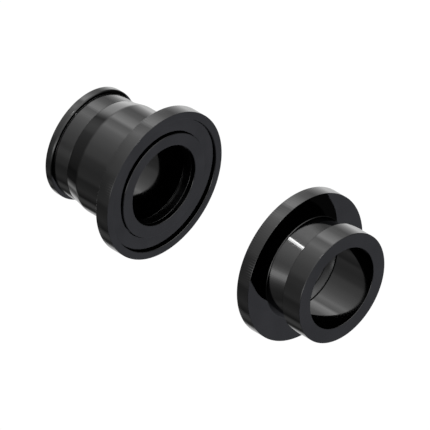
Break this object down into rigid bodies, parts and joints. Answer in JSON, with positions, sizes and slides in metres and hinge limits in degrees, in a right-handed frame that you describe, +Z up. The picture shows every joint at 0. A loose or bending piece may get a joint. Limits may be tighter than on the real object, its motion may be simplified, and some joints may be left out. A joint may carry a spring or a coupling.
{
  "type": "bottom bracket",
  "caption": "Press-fit bottom bracket for a thick crank spindle: long cup with stepped centre sleeve, short necked cup, sealed bearings behind dust covers, laid out on one axis.",
  "frame": {"origin": "on the crank axis, halfway between the two far ends of the laid-out pair, which is the centre of the whole object's box", "axes": "+X along the crank axis from the long cup towards the short cup, the direction of the greatest length; +Z up; the crank axis is the axis of symmetry"},
  "size_m": [0.1216, 0.055, 0.055],
  "materials": {
    "cup_black": "glossy black, very slightly blue",
    "sleeve_black": "glossy black, very slightly blue",
    "cover_black": "smooth black",
    "ring_black": "smooth black",
    "sealing_rubber": "matt black rubber",
    "race_black": "black-oxide bearing steel",
    "ball_steel": "polished bearing steel",
    "cage_nylon": "natural nylon",
    "seal_rubber": "black moulded rubber"
  },
  "bodies": {
    "long_cup": {"long_cup_shell": "cup_black", "long_dust_cover": "cover_black", "long_outer_race": "race_black", "long_outboard_seal": "seal_rubber", "long_inboard_seal": "seal_rubber", "centre_sleeve": "sleeve_black", "sleeve_sealing_ring": "sealing_rubber"},
    "long_inner_ring": {"long_inner_race": "race_black", "long_top_hat_ring": "ring_black"},
    "long_ball_set": {"long_ball_cage": "cage_nylon", "long_ball_01": "ball_steel", "long_ball_02": "ball_steel", "long_ball_03": "ball_steel", "long_ball_04": "ball_steel", "long_ball_05": "ball_steel", "long_ball_06": "ball_steel", "long_ball_07": "ball_steel", "long_ball_08": "ball_steel", "long_ball_09": "ball_steel", "long_ball_10": "ball_steel", "long_ball_11": "ball_steel", "long_ball_12": "ball_steel", "long_ball_13": "ball_steel", "long_ball_14": "ball_steel", "long_ball_15": "ball_steel", "long_ball_16": "ball_steel", "long_ball_17": "ball_steel", "long_ball_18": "ball_steel", "long_ball_19": "ball_steel", "long_ball_20": "ball_steel"},
    "short_cup": {"short_cup_shell": "cup_black", "short_dust_cover": "cover_black", "short_outer_race": "race_black", "short_outboard_seal": "seal_rubber", "short_inboard_seal": "seal_rubber"},
    "short_inner_ring": {"short_inner_race": "race_black", "short_top_hat_ring": "ring_black"},
    "short_ball_set": {"short_ball_cage": "cage_nylon", "short_ball_01": "ball_steel", "short_ball_02": "ball_steel", "short_ball_03": "ball_steel", "short_ball_04": "ball_steel", "short_ball_05": "ball_steel", "short_ball_06": "ball_steel", "short_ball_07": "ball_steel", "short_ball_08": "ball_steel", "short_ball_09": "ball_steel", "short_ball_10": "ball_steel", "short_ball_11": "ball_steel", "short_ball_12": "ball_steel", "short_ball_13": "ball_steel", "short_ball_14": "ball_steel", "short_ball_15": "ball_steel", "short_ball_16": "ball_steel", "short_ball_17": "ball_steel", "short_ball_18": "ball_steel", "short_ball_19": "ball_steel", "short_ball_20": "ball_steel"}
  },
  "joints": [
    {"name": "long_bearing_spin", "type": "hinge", "parent": "long_cup", "child": "long_inner_ring", "pos_m": [-0.0279, 0, 0], "axis": [1, 0, 0], "continuous": true},
    {"name": "long_ball_orbit", "type": "hinge", "parent": "long_cup", "child": "long_ball_set", "pos_m": [-0.0279, 0, 0], "axis": [1, 0, 0], "continuous": true},
    {"name": "short_cup_slide", "type": "slide", "parent": "long_cup", "child": "short_cup", "axis": [1, 0, 0], "range_m": [-0.06, 0.03]},
    {"name": "short_bearing_spin", "type": "hinge", "parent": "short_cup", "child": "short_inner_ring", "pos_m": [0.04155, 0, 0], "axis": [1, 0, 0], "continuous": true},
    {"name": "short_ball_orbit", "type": "hinge", "parent": "short_cup", "child": "short_ball_set", "pos_m": [0.04155, 0, 0], "axis": [1, 0, 0], "continuous": true}
  ],
  "couplings": [
    {"joint": "long_ball_orbit", "follows": "long_bearing_spin", "ratio": 0.4756},
    {"joint": "short_ball_orbit", "follows": "short_bearing_spin", "ratio": 0.4756}
  ]
}
